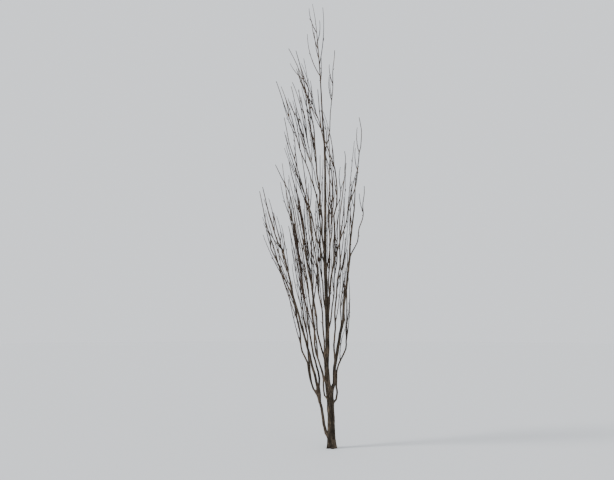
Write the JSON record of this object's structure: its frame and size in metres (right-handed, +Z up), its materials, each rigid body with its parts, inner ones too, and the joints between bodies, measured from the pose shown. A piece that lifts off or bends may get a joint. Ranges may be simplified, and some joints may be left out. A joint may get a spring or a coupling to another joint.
{
  "type": "fastigiate white mulberry tree",
  "caption": "Bare columnar mulberry tree in early spring: a short trunk that forks low into steep boughs and upright twiggy shoots.",
  "frame": {"origin": "middle of the flat cut under the trunk, at ground level", "axes": "+Z up along the trunk, +X to the right of the front view, +Y to its back"},
  "size_m": [1.4944, 1.0771, 6.36],
  "materials": {
    "old_bark": "rough grey-brown bark with shallow vertical furrows, paler and pinkish where the sun falls on it",
    "young_bark": "smooth grey-brown bark of younger boughs with tan streaks and pale breathing pores",
    "twigs": "thin reddish brown bare twigs with small dark buds"
  },
  "bodies": {
    "root": {"trunk": "old_bark", "bough_back": "young_bark", "bough_back_right": "young_bark", "bough_centre_left": "old_bark", "bough_centre_right": "young_bark", "bough_front": "young_bark", "bough_front_left": "old_bark", "bough_front_low": "old_bark", "bough_left_back": "old_bark", "bough_left_front": "old_bark", "bough_left_high": "young_bark", "bough_left_inner": "young_bark", "bough_left_low": "old_bark", "bough_left_mid": "old_bark", "bough_left_outer": "old_bark", "bough_right_back": "young_bark", "bough_right_front": "old_bark", "bough_right_high": "young_bark", "bough_right_outer": "young_bark", "bough_right_parallel": "old_bark", "bough_right_scaffold": "old_bark", "bough_right_stem": "old_bark", "bough_right_upper": "young_bark", "bough_top_left": "young_bark", "bough_top_right": "young_bark", "bough_twin_leader": "old_bark", "bough_upper_left_back": "young_bark", "bough_upper_left_front": "young_bark", "bough_upper_left_outer": "young_bark", "mass_back": "twigs", "mass_back_right": "twigs", "mass_centre_left": "twigs", "mass_centre_right": "twigs", "mass_front": "twigs", "mass_front_left": "twigs", "mass_front_low": "twigs", "mass_left_back": "twigs", "mass_left_front": "twigs", "mass_left_high": "twigs", "mass_left_inner": "twigs", "mass_left_low": "twigs", "mass_left_mid": "twigs", "mass_left_outer": "twigs", "mass_right_back": "twigs", "mass_right_front": "twigs", "mass_right_high": "twigs", "mass_right_outer": "twigs", "mass_right_parallel": "twigs", "mass_right_scaffold": "twigs", "mass_right_stem": "twigs", "mass_right_upper": "twigs", "mass_top": "twigs", "mass_top_left": "twigs", "mass_top_right": "twigs", "mass_twin_leader": "twigs", "mass_upper_left_back": "twigs", "mass_upper_left_front": "twigs", "mass_upper_left_outer": "twigs"}
  },
  "joints": []
}
